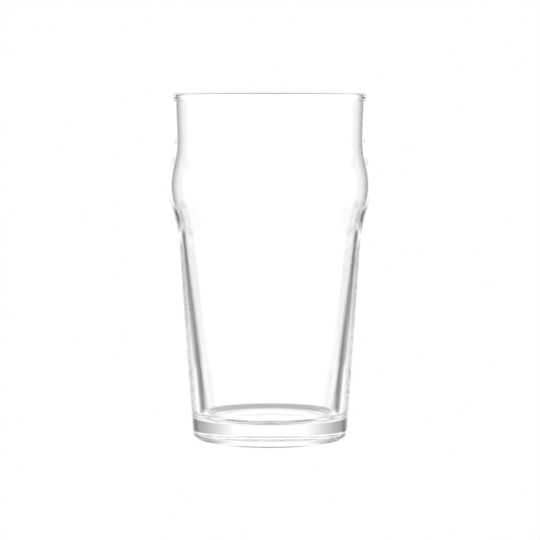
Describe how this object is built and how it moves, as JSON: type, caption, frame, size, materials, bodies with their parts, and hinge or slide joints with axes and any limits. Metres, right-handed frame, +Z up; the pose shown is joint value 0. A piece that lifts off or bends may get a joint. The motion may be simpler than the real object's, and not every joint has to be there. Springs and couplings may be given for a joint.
{
  "type": "pint glass",
  "caption": "Clear conical pint drinking glass with a rounded grip bulge below a beaded rim, thinning walls and a thick solid base with a shallow hollow under it.",
  "frame": {"origin": "centre of the foot, on the table the glass stands on", "axes": "+Z up along the glass's axis of revolution, from the foot to the mouth; X and Y are level and alike"},
  "size_m": [0.087, 0.087, 0.15],
  "materials": {
    "clear_glass": "clear, fire-polished soda-lime glass"
  },
  "bodies": {
    "root": {"glass": "clear_glass"}
  },
  "joints": []
}
